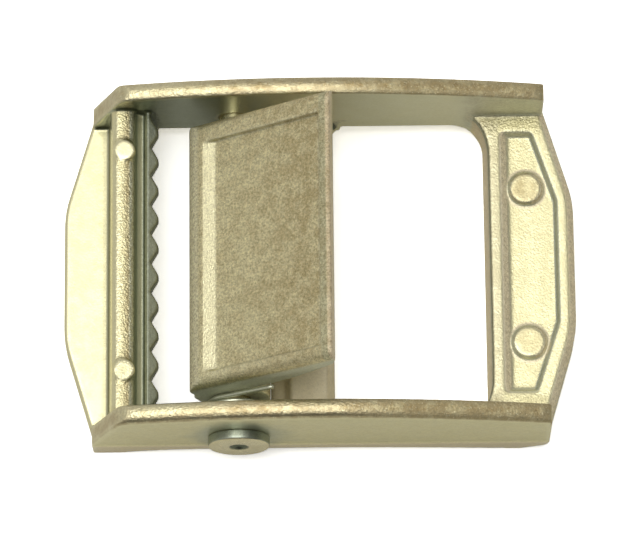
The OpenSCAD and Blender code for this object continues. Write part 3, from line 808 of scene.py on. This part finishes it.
def spread(tree, value, low, high, to_low=0.0, to_high=1.0):
    """Maps low..high to to_low..to_high along a soft S curve, and holds the ends."""
    node = add_node(tree, "ShaderNodeMapRange", From_Min=low, From_Max=high,
                    To_Min=to_low, To_Max=to_high)
    node.interpolation_type = "SMOOTHSTEP"
    tree.links.new(value, node.inputs["Value"])
    return node.outputs["Result"]


# %% Build the groups
NOISE_SHARE = 0.6
FACET_SHARE = 0.4
TONE_FINENESS = 0.62
SPECK_FINENESS = 1.3
BLOTCHES_PER_MM = 0.8
PITS_PER_MM = 2.6
PITTED_PER_MM = 0.9
SHAKES_PER_MM = 2.4
SHAKE = 0.25


def make_cast_skin():
    """Height = fine noise and facets by their shares. Tone = medium noise, Blotch = coarse noise,
    Speck = bright dots, Pit = dark dots where a cell's middle is near, on part of the skin."""
    group, start, end = new_group(
        "cast_skin", [("Position", None), ("Fineness", 5.0)],
        ["Height", "Tone", "Blotch", "Speck", "Pit"])
    position, fineness = start.outputs["Position"], start.outputs["Fineness"]
    fine = noise(group, position, fineness, detail=4, rough=0.65)
    facets = cell_distance(group, position, fineness)
    height = math_node(group, "ADD", math_node(group, "MULTIPLY", fine, NOISE_SHARE),
                       math_node(group, "MULTIPLY", facets, FACET_SHARE))
    medium = math_node(group, "MULTIPLY", fineness, TONE_FINENESS)
    tone = spread(group, noise(group, position, medium, detail=5, rough=0.8), 0.32, 0.68)
    blotch = spread(group, noise(group, position, BLOTCHES_PER_MM, detail=5, rough=0.7),
                    0.35, 0.65)
    finer = math_node(group, "MULTIPLY", fineness, SPECK_FINENESS)
    speck = spread(group, noise(group, position, finer, detail=2, rough=0.5), 0.60, 0.72)
    dots = spread(group, cell_distance(group, position, PITS_PER_MM), 0.16, 0.08)
    pitted = spread(group, noise(group, position, PITTED_PER_MM, detail=2, rough=0.5), 0.45, 0.6)
    pit = math_node(group, "MULTIPLY", dots, pitted)
    for label, socket in (("Height", height), ("Tone", tone), ("Blotch", blotch),
                          ("Speck", speck), ("Pit", pit)):
        group.links.new(socket, end.inputs[label])
    return group


def make_edge_sheen_and_hollow_shade():
    """Ridge where the edge number, shaken by noise, is high; Hollow where it is below zero."""
    group, start, end = new_group("edge_sheen_and_hollow_shade", [("Position", None), ("Edge", 0.0)],
                                  ["Ridge", "Hollow"])
    uneven = noise(group, start.outputs["Position"], SHAKES_PER_MM, detail=4, rough=0.7)
    shaken = math_node(group, "ADD", start.outputs["Edge"],
                       spread(group, uneven, 0.0, 1.0, -SHAKE, SHAKE))
    # Ridge: worn edges with a painted highlight. Hollow: painted shade.
    group.links.new(spread(group, shaken, 0.25, 0.8), end.inputs["Ridge"])
    group.links.new(spread(group, shaken, -0.15, -0.7), end.inputs["Hollow"])
    return group


cast_skin = make_cast_skin()
edge_sheen_and_hollow_shade = make_edge_sheen_and_hollow_shade()
print("groups:", cast_skin.name, edge_sheen_and_hollow_shade.name)

# %% [markdown]
# ## The plated metals
#
# Castings, pin and spring all carry the same yellowish passivation, over metals with a different
# skin. They show the same colours: pale brass where they are clean, a dull grey green in
# sheltered places that is partly a duller finish and partly painted shade, a pale or pinkish film
# that hides some of the metal, brown tarnish in blotches, bright specks and dark pits, and on top
# a painted highlight on ridges and painted shade in hollows. One function builds all four
# materials, and each gets its own clean colour, fineness and strength of mottling. The bump works
# in real depth: the relief is some hundredths of a millimetre.

# %% Helpers for materials
def attribute(tree, name):
    """The stored number of that name."""
    node = tree.nodes.new("ShaderNodeAttribute")
    node.attribute_name = name
    return node.outputs["Fac"]


def put(tree, group, position, **values):
    """Puts a node group into a material and sets its inputs to numbers or sockets."""
    node = tree.nodes.new("ShaderNodeGroup")
    node.node_tree = group
    tree.links.new(position, node.inputs["Position"])
    for name, value in values.items():
        feed(tree, node.inputs[name], value)
    return node.outputs


def product(tree, *factors):
    """All the factors multiplied, held between 0 and 1."""
    result = factors[0]
    for factor in factors[1:]:
        result = math_node(tree, "MULTIPLY", result, factor)
    result.node.use_clamp = True
    return result


# %% Layer the colours
# The dull green of the shade mask: partly a duller finish, partly painted shade and painted dark
# reflections in sheltered places.
DULL_AND_SHADE_GREEN = (0.37, 0.41, 0.33)
FILM = (0.82, 0.85, 0.68)
BLUSH = (0.92, 0.79, 0.55)
BROWN = (0.41, 0.30, 0.13)
# The colour of the bright specks and of the painted highlight on ridges.
BRIGHT = (0.92, 0.88, 0.62)
PIT_AND_HOLLOW_SHADE = (0.15, 0.17, 0.12)
# Dark colour for the pits of the skin and for the painted shade in the hollows.
TONE_DARK = (0.60, 0.58, 0.52)
TONE_LIGHT = (1.28, 1.28, 1.28)
STAIN_STRENGTH = 0.3
SPECK_STRENGTH = 0.6
PIT_STRENGTH = 0.6
RIDGE_STRENGTH = 0.3


def layered_color(tree, skin, sheen_and_shade, clean, mottle, blotches):
    """Clean, dull green with painted shade, chalky, pinkish or brown by place, then the tone and
    the stains of the grain, specks, pits, ridges with a painted highlight and hollows with painted
    shade."""
    grain = attribute(tree, "grain")
    # Painted shade: the dull green where the shade mask is high.
    color = tint(tree, attribute(tree, "shade"), clean, DULL_AND_SHADE_GREEN)
    color = tint(tree, attribute(tree, "film"), color, FILM)
    color = tint(tree, attribute(tree, "blush"), color, BLUSH)
    patchy = spread(tree, skin["Blotch"], 0.0, 1.0, 1 - blotches, 1 + blotches)
    color = tint(tree, product(tree, attribute(tree, "brown"), patchy), color, BROWN)
    tone = tint(tree, skin["Tone"], TONE_DARK, TONE_LIGHT)
    color = tint(tree, product(tree, grain, mottle), color, tone, "MULTIPLY")
    for mask, strength, paint in (("Blotch", STAIN_STRENGTH * blotches, BROWN),
                                  ("Speck", SPECK_STRENGTH, BRIGHT),
                                  ("Pit", PIT_STRENGTH, PIT_AND_HOLLOW_SHADE)):
        color = tint(tree, product(tree, skin[mask], grain, strength), color, paint)
    # Painted highlight on the ridges, which is partly wear.
    ridge = product(tree, sheen_and_shade["Ridge"], attribute(tree, "wear"), RIDGE_STRENGTH)
    # Painted shade in the hollows.
    hollow = product(tree, sheen_and_shade["Hollow"], attribute(tree, "grime"))
    return tint(tree, hollow, tint(tree, ridge, color, BRIGHT), PIT_AND_HOLLOW_SHADE)


# %% Make the plated metals
FILM_METALLIC = 0.3
GRAIN_ROUGHNESS = 0.1
BLOTCH_ROUGHNESS = 0.04
PLACE_ROUGHNESS = 0.35


def plated(name, clean, fineness, depth, mottle, blotches, roughness):
    """Layered colour; less metallic under a film; roughness from blotches, grain and place; and
    the height of the skin as bump, depth mm deep."""
    material = bpy.data.materials.new(name)
    material.use_nodes = True
    tree = material.node_tree
    shader = tree.nodes["Principled BSDF"]
    in_mm = add_node(tree, "ShaderNodeMapping", Scale=(1 / MM, 1 / MM, 1 / MM))
    tree.links.new(tree.nodes.new("ShaderNodeTexCoord").outputs["Object"], in_mm.inputs["Vector"])
    position = in_mm.outputs["Vector"]
    skin = put(tree, cast_skin, position, Fineness=fineness)
    sheen_and_shade = put(tree, edge_sheen_and_hollow_shade, position, Edge=attribute(tree, "edge"))
    color = layered_color(tree, skin, sheen_and_shade, clean, mottle, blotches)
    tree.links.new(color, shader.inputs["Base Color"])

    veil = math_node(tree, "MAXIMUM", attribute(tree, "film"), attribute(tree, "blush"))
    tree.links.new(spread(tree, veil, 0.0, 1.0, 1.0, FILM_METALLIC), shader.inputs["Metallic"])

    grain = attribute(tree, "grain")
    uneven = spread(tree, skin["Blotch"], 0.0, 1.0,
                    roughness - BLOTCH_ROUGHNESS, roughness + BLOTCH_ROUGHNESS)
    rough = math_node(tree, "ADD", product(tree, grain, GRAIN_ROUGHNESS), uneven)
    blunt = product(tree, attribute(tree, "rough"), PLACE_ROUGHNESS)
    tree.links.new(math_node(tree, "ADD", rough, blunt), shader.inputs["Roughness"])

    bump = add_node(tree, "ShaderNodeBump", Strength=1.0, Distance=depth * MM)
    tree.links.new(product(tree, skin["Height"], grain), bump.inputs["Height"])
    tree.links.new(bump.outputs["Normal"], shader.inputs["Normal"])
    return material


finishes = {
    "frame": plated("cast_zinc_frame", clean=(0.80, 0.74, 0.44), fineness=5.5, depth=0.07,
                    mottle=0.65, blotches=0.3, roughness=0.24),
    "lever": plated("cast_zinc_lever", clean=(0.90, 0.84, 0.54), fineness=7.5, depth=0.07,
                    mottle=0.95, blotches=0.3, roughness=0.26),
    "rivet": plated("plated_pin", clean=(0.86, 0.80, 0.52), fineness=9.0, depth=0.02,
                    mottle=0.5, blotches=0.3, roughness=0.28),
    "spring": plated("spring_steel", clean=(0.86, 0.86, 0.68), fineness=8.0, depth=0.02,
                     mottle=0.6, blotches=0.2, roughness=0.22)}
print("materials:", [finish.name for finish in finishes.values()])

# %% Dress the buckle
for piece, node, body, slot_name, finish in [
        (frame_casting, "frame", "frame", "zinc_frame", "frame"),
        (lever_casting, "cam_lever", "lever", "zinc_lever", "lever"),
        (rivet, "pivot_rivet", "frame", "rivet_steel", "rivet"),
        (spring, "return_spring", "frame", "spring_wire", "spring")]:
    piece.data.materials.append(finishes[finish])
    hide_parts(node)
    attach(piece, body)
    print(f"{piece.name}: in place of {node}, on body {body}")
